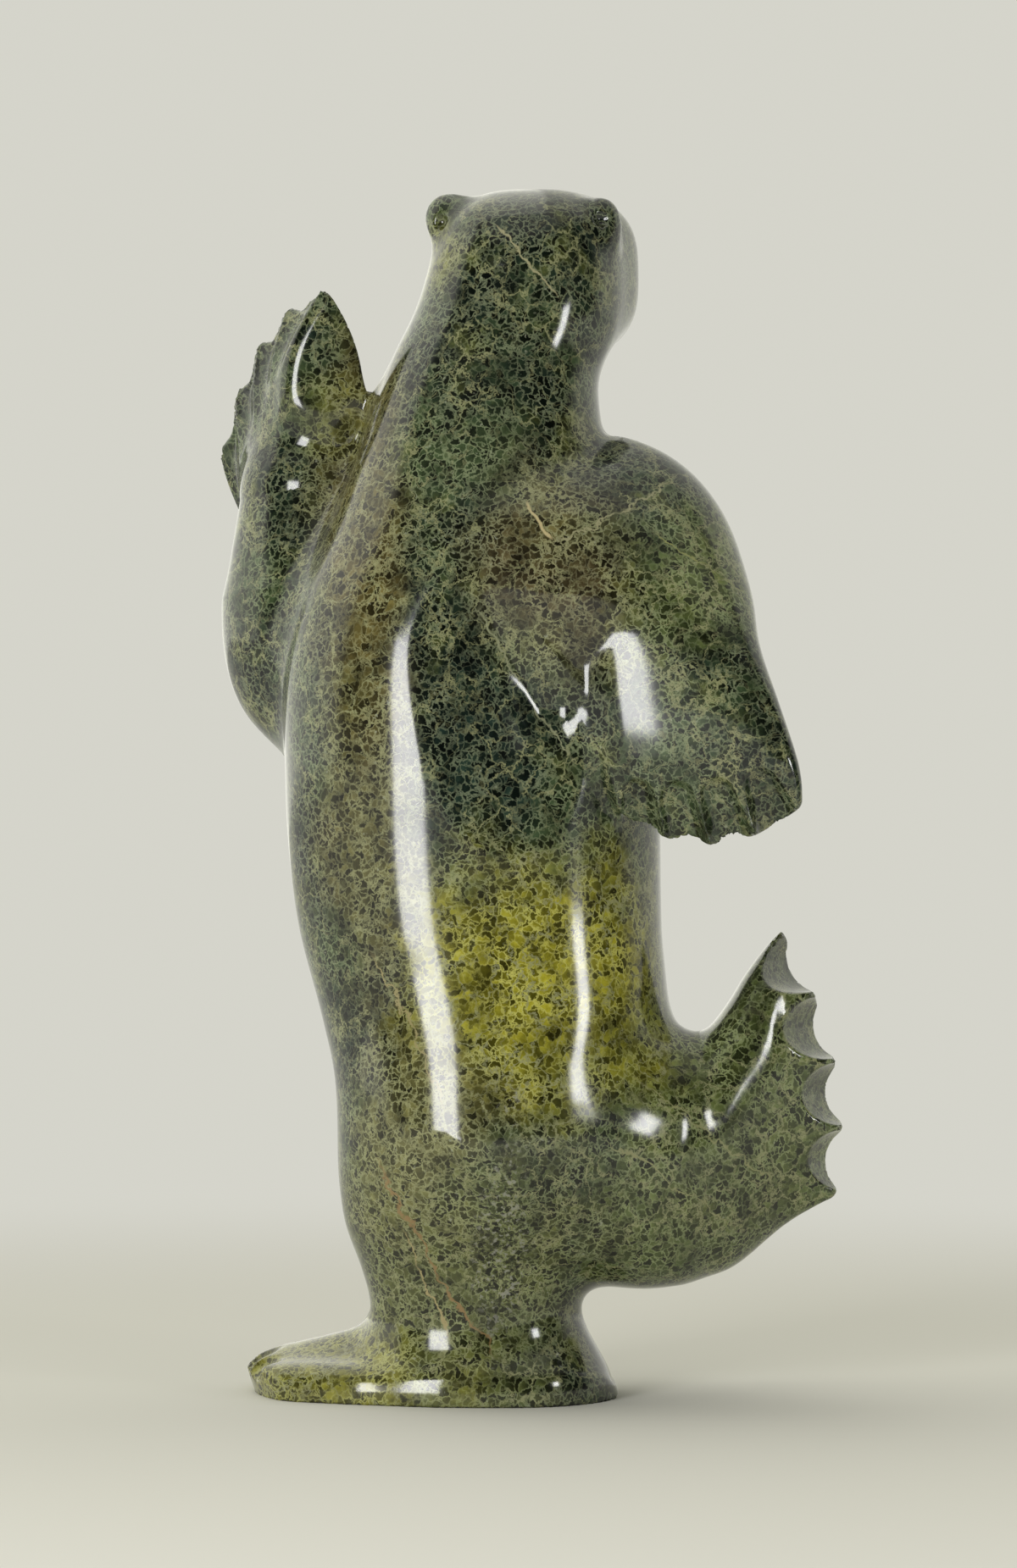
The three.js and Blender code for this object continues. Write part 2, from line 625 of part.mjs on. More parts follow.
function thin(points, triangles, target) {
  const mostTurn = 0.35;
  const leastArea = 1e-3;
  const alreadySliver = 0.02;
  const leastHeight = 0.08;
  const evenness = 1e-5;
  const quadrics = points.map(() => new Float64Array(10));
  const around = points.map(() => new Set());
  const alive = triangles.map(() => true);
  const normalOf = (a, b, c) => {
    const u = minus(b, a);
    const v = minus(c, a);
    return [u[1] * v[2] - u[2] * v[1], u[2] * v[0] - u[0] * v[2], u[0] * v[1] - u[1] * v[0]];
  };
  triangles.forEach((t, f) => {
    const n = normalOf(...t.map((v) => points[v]));
    const area = Math.hypot(...n) || 1e-12;
    const [a, b, c] = n.map((v) => v / area);
    const d = -dot([a, b, c], points[t[0]]);
    const plane = [a * a, a * b, a * c, a * d, b * b, b * c, b * d, c * c, c * d, d * d];
    for (const v of t) {
      around[v].add(f);
      plane.forEach((value, m) => { quadrics[v][m] += value * area; });
    }
  });
  const errorAt = (q, [x, y, z]) =>
    q[0] * x * x + 2 * q[1] * x * y + 2 * q[2] * x * z + 2 * q[3] * x + q[4] * y * y
    + 2 * q[5] * y * z + 2 * q[6] * y + q[7] * z * z + 2 * q[8] * z + q[9];
  const neighbours = (v) => {
    const found = new Set();
    for (const f of around[v]) for (const w of triangles[f]) if (w !== v) found.add(w);
    return found;
  };
  const bestPlace = (a, b) => {
    const q = quadrics[a].map((value, m) => value + quadrics[b][m]);
    const middle = times(plus(points[a], points[b]), 0.5);
    const length = Math.hypot(...minus(points[a], points[b]));
    const places = [middle, points[a], points[b]];
    const det = q[0] * (q[4] * q[7] - q[5] * q[5]) - q[1] * (q[1] * q[7] - q[5] * q[2])
      + q[2] * (q[1] * q[5] - q[4] * q[2]);
    const scale = (q[0] + q[4] + q[7]) ** 3;
    if (Math.abs(det) > 1e-4 * scale) {
      const [rx, ry, rz] = [-q[3], -q[6], -q[8]];
      const x = (rx * (q[4] * q[7] - q[5] * q[5]) - q[1] * (ry * q[7] - q[5] * rz)
        + q[2] * (ry * q[5] - q[4] * rz)) / det;
      const y = (q[0] * (ry * q[7] - rz * q[5]) - rx * (q[1] * q[7] - q[5] * q[2])
        + q[2] * (q[1] * rz - ry * q[2])) / det;
      const z = (q[0] * (q[4] * rz - q[5] * ry) - q[1] * (q[1] * rz - ry * q[2])
        + rx * (q[1] * q[5] - q[4] * q[2])) / det;
      if (Math.hypot(...minus([x, y, z], middle)) < length) places.unshift([x, y, z]);
    }
    let best = null;
    for (const place of places) {
      const cost = Math.max(errorAt(q, place), 0) + evenness * length ** 4;
      if (!best || cost < best.cost) best = { cost, place, q };
    }
    return best;
  };
  const heap = [];
  const stamp = new Int32Array(points.length);
  const push = (item) => {
    let n = heap.length;
    heap.push(item);
    while (n > 0) {
      const up = (n - 1) >> 1;
      if (heap[up].cost <= item.cost) break;
      heap[n] = heap[up];
      n = up;
    }
    heap[n] = item;
  };
  const pop = () => {
    const top = heap[0];
    const item = heap.pop();
    if (heap.length === 0) return top;
    let n = 0;
    for (;;) {
      let down = 2 * n + 1;
      if (down >= heap.length) break;
      if (down + 1 < heap.length && heap[down + 1].cost < heap[down].cost) down++;
      if (heap[down].cost >= item.cost) break;
      heap[n] = heap[down];
      n = down;
    }
    heap[n] = item;
    return top;
  };
  const offer = (a, b) => {
    const { cost, place, q } = bestPlace(a, b);
    push({ cost, place, q, a, b, stampA: stamp[a], stampB: stamp[b] });
  };
  points.forEach((p, v) => { for (const w of neighbours(v)) if (v < w) offer(v, w); });
  const foldsOver = (v, other, place) => {
    for (const f of around[v]) {
      const t = triangles[f];
      if (t.includes(other)) continue;
      const before = normalOf(...t.map((w) => points[w]));
      if (Math.hypot(...before) < alreadySliver) continue;
      const after = normalOf(...t.map((w) => (w === v ? place : points[w])));
      const sizes = Math.hypot(...before) * Math.hypot(...after);
      if (dot(before, after) < mostTurn * sizes || Math.hypot(...after) < leastArea) return true;
      const sides = t.map((w, m) => {
        const a = w === v ? place : points[w];
        const next = t[(m + 1) % 3];
        const b = next === v ? place : points[next];
        return Math.hypot(...minus(a, b));
      });
      if (Math.hypot(...after) < leastHeight * Math.max(...sides) ** 2) return true;
    }
    return false;
  };
  let count = triangles.length;
  while (count > target && heap.length) {
    const { place, q, a, b, stampA, stampB } = pop();
    if (stamp[a] !== stampA || stamp[b] !== stampB) continue;
    const near = neighbours(a);
    const shared = [...neighbours(b)].filter((w) => near.has(w));
    if (shared.length !== 2) continue;
    if (foldsOver(a, b, place) || foldsOver(b, a, place)) continue;
    points[a] = place;
    quadrics[a] = q;
    for (const f of around[b]) {
      if (triangles[f].includes(a)) {
        alive[f] = false;
        count--;
        for (const w of triangles[f]) if (w !== b) around[w].delete(f);
      } else {
        triangles[f] = triangles[f].map((w) => (w === b ? a : w));
        around[a].add(f);
      }
    }
    around[b].clear();
    stamp[a]++;
    stamp[b] = -1;
    for (const w of neighbours(a)) offer(a, w);
  }
  const used = new Map();
  const kept = [];
  const order = [];
  triangles.forEach((t, f) => {
    if (!alive[f]) return;
    order.push(t.map((v) => {
      if (!used.has(v)) {
        used.set(v, kept.length);
        kept.push(points[v]);
      }
      return used.get(v);
    }));
  });
  return { points: kept, triangles: order };
}

// ---- The stone ----

const stone = new THREE.MeshStandardMaterial({ color: 0x4a5635, roughness: 0.12, metalness: 0 });

function makeBear() {
  const rough = skin(bearDistance, walkBox.low, walkBox.high, skinCell);
  settle(rough.points, bearDistance, 2, skinCell / 2);
  const lieFlat = (p) => { if (p[2] < soleTouch) p[2] = 0; };
  rough.points.forEach(lieFlat);
  const fine = thin(rough.points, rough.triangles, triangleTarget);
  fine.points.forEach(lieFlat);
  const geometry = new THREE.BufferGeometry();
  geometry.setAttribute('position', new THREE.Float32BufferAttribute(fine.points.flat(), 3));
  geometry.setIndex(fine.triangles.flat());
  geometry.scale(...Array(3).fill(statueHeight / modelledHeight));
  const mesh = new THREE.Mesh(geometry, stone);
  mesh.name = 'bear';
  return mesh;
}

const group = new THREE.Group();
group.add(makeBear());

export default group;
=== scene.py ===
import math
import bpy
import numpy as np
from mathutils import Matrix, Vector


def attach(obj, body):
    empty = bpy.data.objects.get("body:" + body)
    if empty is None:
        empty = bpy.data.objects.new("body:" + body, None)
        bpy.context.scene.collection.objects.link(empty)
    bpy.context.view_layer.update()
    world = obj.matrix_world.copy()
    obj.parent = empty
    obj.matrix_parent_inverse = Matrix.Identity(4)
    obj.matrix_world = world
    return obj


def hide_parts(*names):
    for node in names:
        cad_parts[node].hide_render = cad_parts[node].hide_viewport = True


# A dancing bear carved from one piece of polished green serpentine, from behind.
# Sizes of the carving are in millimetres, +Z up, its back to -Y and its right side to +X.

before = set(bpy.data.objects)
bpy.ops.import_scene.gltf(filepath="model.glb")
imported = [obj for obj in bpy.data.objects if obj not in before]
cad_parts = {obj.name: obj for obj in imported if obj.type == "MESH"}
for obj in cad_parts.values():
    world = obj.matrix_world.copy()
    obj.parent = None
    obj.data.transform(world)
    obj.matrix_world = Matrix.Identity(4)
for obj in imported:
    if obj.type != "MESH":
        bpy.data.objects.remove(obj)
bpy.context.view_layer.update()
bodyName = "root"
print("frame loaded")

# sizes of the carving; a station is: place along, centre across, centre deep, half width across, half width deep

upright = {"origin": (0, 0, 0), "along": (0, 0, 1), "across": (1, 0, 0), "deep": (0, 1, 0)}


def headFrame(origin, turn, nod):
    t, n = math.radians(turn), math.radians(nod)
    return {
        "origin": origin,
        "along": (math.sin(t) * math.cos(n), math.cos(t) * math.cos(n), math.sin(n)),
        "across": (math.cos(t), -math.sin(t), 0),
        "deep": (-math.sin(t) * math.sin(n), -math.cos(t) * math.sin(n), math.cos(n)),
    }


claws = 5
torso = {
    "frame": upright, "squareness": 2.15, "ends": (30, 385), "endRound": (26, 8),
    "stations": [
        (45, -10, -3, 38, 34), (75, -6, -8.5, 45, 46.5), (99, -5.3, -6, 50, 50), (127, -5, 1, 57, 51.5),
        (155, -9.3, 3, 60, 52), (183, -11.3, 4, 61.6, 53), (211, -12, 4, 62, 54), (240, -12, 4, 62, 53.5),
        (265, -10, 5, 58.5, 51), (285, -9, 6, 51, 47.5), (306, -8.5, 7, 43.5, 41.5), (325, -7.5, 8.5, 38, 37),
        (345, -4, 11, 34, 33.5), (364, 2, 15, 30.5, 32), (384, 6, 18, 26, 30),
    ],
}
head = {
    "frame": headFrame((8.5, 20, 371.5), 11, 2), "squareness": 3, "ends": (-36, 78), "endRound": (16, 9),
    "stations": [
        (-36, 0, 0, 27, 28), (-6, 0, 0, 29.5, 29), (16, 0, 1.5, 32.5, 26.8), (32, 0, -1, 28.5, 24.5),
        (44, 0, -4, 22.5, 21), (58, 0, -6, 19.5, 18.5), (78, 0, -7, 17.5, 16.5),
    ],
}
ears = [
    {"at": (-13, -26.5, 19.8), "half": (6, 7.4, 7.6), "hollow": (-7.5, -30, 20.5), "dimple": (-20.5, -27.1, 17.3)},
    {"at": (-13, 26, 17.2), "half": (5.5, 5.2, 7.2), "hollow": (-7.5, 29.5, 19), "dimple": (-20.5, 26.6, 17.3)},
]
earShape = {"blend": 7, "hollow": 4, "dimple": 3.2}
eye = {"at": (36, 22, 9), "radius": 4}
nose = {"at": (75, 0, 2.5), "half": (7, 10, 7)}
nostril = {"at": (82, 4.5, 2), "radius": 2}
mouth = {"start": (48, 22.5, -14), "end": (82, 10, -12.5), "radius": 2}
rightArm = {
    "frame": upright, "ends": (168, 318), "endRound": (4, 20),
    # here the squareness and the slant of each section follow
    "stations": [
        (174, 66, -46.5, 29, 2.5, 3.5, 0.2), (184, 66, -46, 29.5, 4, 3.5, 0.2), (194, 64.5, -44.5, 30, 6.5, 3.5, 0.2),
        (203, 62.7, -43, 31.5, 9, 3.6, 0.2), (211, 60.7, -41, 32, 12, 3.8, 0.2), (229, 55.5, -36, 31.5, 17, 3.6, 0.2),
        (247, 49.5, -27.5, 32, 23, 3, 0.18), (264, 42.5, -17, 37, 29.5, 2.5, 0.1), (285, 38.5, -9, 35.4, 31, 2.3, 0),
        (303, 37.5, -5, 30.5, 30, 2.3, 0), (318, 36, -2, 27, 28, 2.3, 0),
    ],
}
hangingClaws = {
    "middle": 64, "lowest": 182.5, "roundness": 73, "spacing": 14.9, "lean": 16, "fan": 6,
    "top": 197.3, "topRise": 1.1, "topBow": 0.9, "back": -52, "lie": 0.2, "topProud": 1.5, "tipSunk": 4,
    "radii": (6.6, 7.7),
}
standingLeg = {
    "frame": upright, "squareness": 2.2, "ends": (-20, 118), "endRound": (4, 24),
    "stations": [
        (-20, -7, 0, 41, 34), (0, -8, 0, 41, 34), (8, -8.5, 0, 40.5, 33.5), (16, -9.5, 0, 38.5, 32.5),
        (24, -10.5, 0, 35.8, 31.5), (32, -11.3, 0, 34.3, 31.5), (43.5, -13, 0, 35, 32),
        (57.5, -17, -1, 35.5, 34), (71, -19, -1, 35, 37), (85, -20, -2, 34, 39), (118, -20, -2, 33, 39),
    ],
}
foot = {
    "frame": {"origin": (0, 0, 0), "along": (-1, 0, 0), "across": (0, 1, 0), "deep": (0, 0, 1)},
    "squareness": 4.5, "ends": (-35, 100), "endRound": (12, 4),
    "stations": [
        (-34, 1, 0, 25, 13.5), (-10, 0, 0, 35, 14.5), (20, 2, 0, 37.5, 14.5), (48, 8, 0, 36.5, 13.5),
        (62, 12, 0, 35, 13.2), (75, 15, 0, 33, 12.2), (92, 17, 0, 32, 10),
    ],
}
instep = {"from": (-20, 4, 12), "to": (-68, 14, 1.5), "radii": (19.5, 12.5)}
toeClaws = {"middle": 17, "farthest": 88, "roundness": 110, "spacing": 13, "radius": 7.5, "undercut": 0.35}
rightLeg = {
    "frame": {"origin": (0, 0, 0), "along": (1, 0, 0), "across": (0, 0, 1), "deep": (0, 1, 0)},
    "squareness": 2.3, "ends": (-20, 122), "endRound": (20, 4),
    "stations": [
        (-10, 80, 0, 36, 40), (24, 79, -2, 38.8, 40), (40, 78, -3, 42, 37), (56, 78.3, -3, 41.5, 32),
        (65.5, 80.5, -2, 41, 27.5), (72.5, 86, -2, 44, 24), (78, 92.3, -2, 46.7, 21), (85.5, 100.5, -2, 48.5, 17),
        (91, 105.5, -2, 49, 13.5), (98, 109.5, -2.5, 48.5, 10.5), (108, 113, -4, 47, 6.5), (120, 115, -6, 47, 3.5),
    ],
}
rightKnee = {"from": (10, 20, 112), "to": (44, 34, 74), "radii": (34, 27)}
raisedClaws = {
    "middle": 88, "farthest": 110, "roundness": 219, "first": 152.5, "last": 68,
    "radius": 10.5, "bite": 6, "biteLess": 0.6, "slant": 28, "reach": 30,
}
leftShoulder = {"from": (-34, 16, 262), "to": (-60.5, 33, 250), "radii": (34, 32.5)}
leftForearm = {"from": (-63, 33, 268), "to": (-66.5, 34, 300), "radii": (33, 24)}
leftChest = {"from": (-58, 31, 240), "to": (-28, 24, 190), "radii": (28, 24)}
leftPaw = {
    "nearSide": 13, "clawStep": 9.6, "tipX": (-61.5, -12.6, 0.95), "tipZ": (366, -4.4, -2.1), "tipRadius": 1.9,
    "knuckleX": (-61.5, -3.3), "knuckleZ": (333, -9), "knuckleRadius": 14,
    "fullness": 2, "gap": 5.5, "groove": 2.2, "nearBlend": 5, "farBlend": 4,
}
armpit = {"from": (-9, -57, 262), "to": (14.5, -49.5, 226), "radii": (9, 11)}
armpitEnd = {"from": (14.5, -49.5, 226), "to": (20, -51, 202), "radii": (11, 7)}
armpitDip = {"from": (-8, -83, 250), "to": (6, -80.5, 212), "radii": (35, 35)}
shoulderBlend = {"low": 238, "full": 268, "ebb": 288, "high": 312, "most": 28}
shoulderCrease = {"from": (12, -37, 307), "to": (34, -30, 320), "radii": (3.5, 3.5)}
rumpGroove = {"from": (-26, -59.5, 79), "to": (-13, -55, 58), "radii": (9, 9)}
# how softly each mass runs into the next
joins = {
    "head": 14, "elbow": 10, "chest": 20, "paw": 10, "leftArm": 9, "standingLeg": 14, "knee": 16, "rightLeg": 16,
    "instep": 12, "foot": 8, "armpit": 3, "armpitDip": 12, "shoulderCrease": 3, "rightArm": 6, "rumpGroove": 5,
    "clawRidge": 0.8, "clawEdge": 2, "toeEdge": 4, "eye": 1, "nose": 2, "nostril": 1, "faceCut": 1.5,
}

# distances to the skin of each part; p holds points as rows


def smoothMin(a, b, blend):
    near = np.maximum(blend - np.abs(a - b), 0) / blend
    return np.minimum(a, b) - near * near * blend / 4


def smoothMax(a, b, blend):
    return -smoothMin(-a, -b, blend)


def length(v):
    return np.sqrt((v * v).sum(-1))


def toFrame(p, place):
    q = p - np.array(place["origin"], float)
    return np.stack([q @ np.array(place[way], float) for way in ("along", "across", "deep")], -1)


def ball(p, centre, radius):
    return length(p - np.array(centre, float)) - radius


def ellipsoid(p, centre, half):
    q = p - np.array(centre, float)
    half = np.array(half, float)
    k0 = length(q / half)
    return k0 * (k0 - 1) / np.maximum(length(q / half ** 2), 1e-9)


def rod(p, start, end, radii):
    start, axis = np.array(start, float), np.array(end, float) - np.array(start, float)
    share = np.clip((p - start) @ axis / (axis @ axis), 0, 1)
    return length(p - start - share[:, None] * axis) - radii[0] - (radii[1] - radii[0]) * share


def rodOf(p, place):
    return rod(p, place["from"], place["to"], place["radii"])


def easeBetween(low, high, value):
    t = np.clip((value - low) / (high - low), 0, 1)
    return t * t * (3 - 2 * t)


def stationTable(stations, step=1.0):
    rows = np.array(stations, float)
    at, values = rows[:, 0], rows[:, 1:]
    before, after = np.maximum(np.arange(len(rows)) - 1, 0), np.minimum(np.arange(len(rows)) + 1, len(rows) - 1)
    slope = (values[after] - values[before]) / (at[after] - at[before])[:, None]
    fine = np.arange(at[0], at[-1] + step, step).clip(at[0], at[-1])
    i = np.clip(np.searchsorted(at, fine, "left") - 1, 0, len(rows) - 2)
    span = (at[i + 1] - at[i])[:, None]
    t = ((fine - at[i])[:, None]) / span
    a, b, da, db = values[i], values[i + 1], slope[i] * span, slope[i + 1] * span
    return fine, a + t * (da + t * (3 * (b - a) - 2 * da - db + t * (2 * (a - b) + da + db)))


def sweep(p, mass):
    if "table" not in mass:
        mass["table"] = stationTable(mass["stations"])
    fine, rows = mass["table"]
    along, across, deep = toFrame(p, mass["frame"]).T
    section = [np.interp(along, fine, column) for column in rows.T]
    if len(section) == 4:
        section += [mass["squareness"], 0]
    centreAcross, centreDeep, halfAcross, halfDeep, power, lie = section
    u = np.abs(across - centreAcross) / halfAcross
    v = np.abs(deep - centreDeep + lie * (across - centreAcross)) / halfDeep
    k = np.maximum((u ** power + v ** power) ** (1 / power), 1e-4)
    side = (k - 1) / np.hypot((u / k) ** (power - 1) / halfAcross, (v / k) ** (power - 1) / halfDeep)
    start = smoothMax(side, mass["ends"][0] - along, mass["endRound"][0] * 2)
    return smoothMax(start, along - mass["ends"][1], mass["endRound"][1] * 2)


def headDistance(p):
    d = sweep(p, head)
    q = toFrame(p, head["frame"])
    for ear in ears:
        d = smoothMin(d, ellipsoid(q, ear["at"], ear["half"]), earShape["blend"])
        for cut in ("hollow", "dimple"):
            d = smoothMax(d, -ball(q, ear[cut], earShape[cut]), joins["faceCut"])
    q[:, 1] = np.abs(q[:, 1])
    d = smoothMin(d, ball(q, eye["at"], eye["radius"]), joins["eye"])
    d = smoothMin(d, ellipsoid(q, nose["at"], nose["half"]), joins["nose"])
    d = smoothMax(d, -ball(q, nostril["at"], nostril["radius"]), joins["nostril"])
    return smoothMax(d, -rod(q, mouth["start"], mouth["end"], (mouth["radius"],) * 2), joins["faceCut"])


def hangingScoops():
    # scoops between the claws run down the back of the hanging paw and over its lower edge
    made, c = [], hangingClaws
    for i in range(claws - 1):
        place = i - (claws - 2) / 2
        x = c["middle"] + place * c["spacing"]
        z = c["lowest"] + (x - c["middle"]) ** 2 / c["roundness"]
        tilt = math.tan(math.radians(c["lean"] + place * c["fan"]))
        top = c["top"] + c["topRise"] * place + c["topBow"] * place ** 2
        away = c["back"] - c["lie"] * (x - c["middle"])
        made.append(((x - tilt * (top - z), away - c["topProud"], top), (x + tilt * 3, away + c["tipSunk"], z - 3)))
    return made


def rightArmDistance(p):
    edge = hangingClaws["lowest"] + (p[:, 0] - hangingClaws["middle"]) ** 2 / hangingClaws["roundness"]
    d = smoothMax(sweep(p, rightArm), edge - p[:, 2], joins["clawEdge"])
    for start, end in hangingScoops():
        d = smoothMax(d, -rod(p, start, end, hangingClaws["radii"]), joins["clawRidge"])
    return d


def raisedScoops():
    # round cuts across the edge of the raised foot's fan leave its claws
    made, c = [], raisedClaws
    for i in range(claws - 1):
        z = c["first"] + (c["last"] - c["first"]) * (i + 0.5) / (claws - 1)
        slope = -2 * (z - c["middle"]) / c["roundness"]
        out = math.hypot(1, slope)
        setBack = c["radius"] - c["bite"] + c["biteLess"] * i
        x = c["farthest"] - (z - c["middle"]) ** 2 / c["roundness"] + setBack / out
        lean = math.tan(math.radians(c["slant"])) * c["reach"]
        centre = np.array([x, 0, z - slope / out * setBack])
        made.append((centre - (lean, c["reach"], 0), centre + (lean, c["reach"], 0)))
    return made


def rightLegDistance(p):
    edge = raisedClaws["farthest"] - (p[:, 2] - raisedClaws["middle"]) ** 2 / raisedClaws["roundness"]
    d = smoothMin(sweep(p, rightLeg), rod(p, rightKnee["from"], rightKnee["to"], rightKnee["radii"]), joins["knee"])
    d = smoothMax(d, p[:, 0] - edge, joins["clawEdge"])
    for start, end in raisedScoops():
        d = smoothMax(d, -rod(p, start, end, (raisedClaws["radius"],) * 2), joins["clawRidge"])
    return d


def footDistance(p):
    c = toeClaws
    edge = c["farthest"] - (p[:, 1] - c["middle"]) ** 2 / c["roundness"]
    reach = edge - c["undercut"] * np.maximum(10 - p[:, 2], 0)
    d = smoothMin(sweep(p, foot), rod(p, instep["from"], instep["to"], instep["radii"]), joins["instep"])
    d = smoothMax(d, -p[:, 0] - reach, joins["toeEdge"])
    for i in range(claws - 1):
        y = c["middle"] + (i - (claws - 2) / 2) * c["spacing"]
        x = -c["farthest"] + (y - c["middle"]) ** 2 / c["roundness"]
        d = smoothMax(d, -rod(p, (x + 10, y, 23), (x - 7, y, 7), (c["radius"],) * 2), joins["clawRidge"])
    return d


def leftPawDistance(p):
    # a wedge from knuckles to claw tips, shifted slice by slice with depth
    c = leftPaw
    curve = lambda terms, s: sum(term * s ** n for n, term in enumerate(terms))
    s = np.clip((p[:, 1] - c["nearSide"]) / c["clawStep"], -0.2, claws - 0.8)
    tip = np.stack([curve(c["tipX"], s), curve(c["tipZ"], s)], -1)
    knuckle = np.stack([curve(c["knuckleX"], s), curve(c["knuckleZ"], s)], -1)
    hollow = np.abs(np.sin(np.pi * np.clip(s, 0, claws - 1)))
    run, out = tip - knuckle, p[:, [0, 2]] - knuckle
    size = length(run)
    share = np.minimum(np.clip((out * run).sum(-1) / size ** 2, 0, None), 1 - c["gap"] * hollow / size)
    away = length(out - run * share[:, None])
    grooved = c["groove"] * hollow * np.clip(share * 2 - 0.6, 0, 1)
    thick = c["knuckleRadius"] + (c["tipRadius"] - c["knuckleRadius"]) * share ** c["fullness"]
    d = 0.85 * (away - thick + grooved)
    farSide = c["nearSide"] + (claws - 1) * c["clawStep"]
    d = smoothMax(d, c["nearSide"] - c["tipRadius"] - p[:, 1], c["nearBlend"])
    return smoothMax(d, p[:, 1] - farSide - c["tipRadius"], c["farBlend"])


def leftArmDistance(p):
    upper, lower, chest = (rod(p, r["from"], r["to"], r["radii"]) for r in (leftShoulder, leftForearm, leftChest))
    arm = smoothMin(smoothMin(upper, lower, joins["elbow"]), chest, joins["chest"])
    return smoothMin(arm, leftPawDistance(p), joins["paw"])


def bearDistance(p):
    d = sweep(p, torso)
    d = smoothMin(d, headDistance(p), joins["head"])
    d = smoothMin(d, leftArmDistance(p), joins["leftArm"])
    d = smoothMin(d, sweep(p, standingLeg), joins["standingLeg"])
    d = smoothMin(d, rightLegDistance(p), joins["rightLeg"])
    d = smoothMin(d, footDistance(p), joins["foot"])
    d = smoothMax(d, -rodOf(p, armpitDip), joins["armpitDip"])
    c = shoulderBlend
    swell = easeBetween(c["low"], c["full"], p[:, 2]) * (1 - easeBetween(c["ebb"], c["high"], p[:, 2]))
    d = smoothMin(d, rightArmDistance(p), joins["rightArm"] + (c["most"] - joins["rightArm"]) * swell)
    d = smoothMax(d, -np.minimum(rodOf(p, armpit), rodOf(p, armpitEnd)), joins["armpit"])
    d = smoothMax(d, -rodOf(p, shoulderCrease), joins["shoulderCrease"])
    d = smoothMax(d, -rodOf(p, rumpGroove), joins["rumpGroove"])
    return np.maximum(d, -p[:, 2])


def inPieces(work, p, size=200000):
    return np.concatenate([work(p[i:i + size]) for i in range(0, len(p), size)])


corner = np.array([(n & 1, (n >> 1) & 1, n >> 2) for n in range(8)])
edges = [(n, n + step) for n in range(8) for step in (1, 2, 4) if not n & step]


def hangsTogether(chosen):
    grown = chosen & -chosen
    for _ in range(4):
        for n in range(8):
            if grown & (1 << n):
                for step in (1, 2, 4):
                    grown |= chosen & (1 << (n ^ step))
    return grown == chosen


cleanCell = np.array([hangsTogether(chosen) and hangsTogether(255 - chosen) for chosen in range(256)])


def cornerSets(values):
    low = [n - 1 for n in values.shape]
    sets = np.zeros(low, int)
    for n, (a, b, c) in enumerate(corner):
        sets |= (values[a:a + low[0], b:b + low[1], c:c + low[2]] < 0).astype(int) << n
    return sets


def walkSkin(distance, low, high, cell):
    block = 4
    low = np.array(low, float)
    count = np.ceil((np.array(high) - low) / (cell * block)).astype(int)
    grid = np.stack(np.meshgrid(*[np.arange(n) for n in count], indexing="ij"), -1).reshape(-1, 3)
    middle = inPieces(distance, low + (grid * block + block / 2) * cell).reshape(count)
    near = np.abs(middle) < block * cell * math.sqrt(3) / 2 * 1.5
    values = middle
    wanted = near
    for axis in range(3):
        values, wanted = np.repeat(values, block, axis), np.repeat(wanted, block, axis)
    values, wanted = np.pad(values, ((0, 1),) * 3, mode="edge"), np.pad(wanted, ((0, 1),) * 3)
    for axis in range(3):
        wanted = wanted | np.roll(wanted, 1, axis)
    at = np.argwhere(wanted)
    values[tuple(at.T)] = inPieces(distance, low + at * cell)
    while True:  # where the stone would touch itself across a cell, the nearest empty corner is filled
        sets = cornerSets(values)
        tangled = np.argwhere(~cleanCell[sets])
        if not len(tangled):
            break
        for where in tangled:
            empty = [tuple(where + c) for c in corner if values[tuple(where + c)] >= 0]
            if empty:
                values[min(empty, key=lambda place: values[place])] = -cell / 20
    cells = np.argwhere((sets > 0) & (sets < 255))
    v = np.stack([values[tuple((cells + c).T)] for c in corner], -1)
    total, hits = np.zeros((len(cells), 3)), np.zeros(len(cells))
    for a, b in edges:
        cut = (v[:, a] < 0) != (v[:, b] < 0)
        t = v[cut, a] / (v[cut, a] - v[cut, b])
        total[cut] += corner[a] + t[:, None] * (corner[b] - corner[a])
        hits[cut] += 1
    points = low + (cells + total / hits[:, None]) * cell
    vertexOf = np.full(values.shape, -1)
    vertexOf[tuple(cells.T)] = np.arange(len(cells))
    triangles = []
    inside = values < 0
    for axis in range(3):
        side, up = (axis + 1) % 3, (axis + 2) % 3
        nextOne = np.roll(inside, -1, axis)
        change = inside != nextOne
        for ax in range(3):
            change[(slice(None),) * ax + (0,)] = False
            change[(slice(None),) * ax + (-1,)] = False
        nodes = np.argwhere(change)
        back = lambda s, u: tuple((nodes - s * np.eye(3, dtype=int)[side] - u * np.eye(3, dtype=int)[up]).T)
        quad = np.stack([vertexOf[back(1, 1)], vertexOf[back(0, 1)], vertexOf[back(0, 0)], vertexOf[back(1, 0)]], -1)
        flip = ~inside[tuple(nodes.T)]
        quad[flip] = quad[flip][:, ::-1]
        triangles += [quad[:, [0, 1, 2]], quad[:, [0, 2, 3]]]
    return points, np.concatenate(triangles)


def steepest(p, e=0.05):
    g = np.empty_like(p)
    for axis in range(3):
        step = np.zeros(3)
        step[axis] = e
        g[:, axis] = (bearDistance(p + step) - bearDistance(p - step)) / (2 * e)
    return g


def settle(p, steps, limit):
    start = p.copy()
    for _ in range(steps):
        g = inPieces(steepest, p)
        p = p - (inPieces(bearDistance, p) / np.maximum((g * g).sum(-1), 0.2))[:, None] * g
    moved = length(p - start)
    far = moved > limit
    p[far] = start[far] + (p[far] - start[far]) * (limit / moved[far])[:, None]
    return p


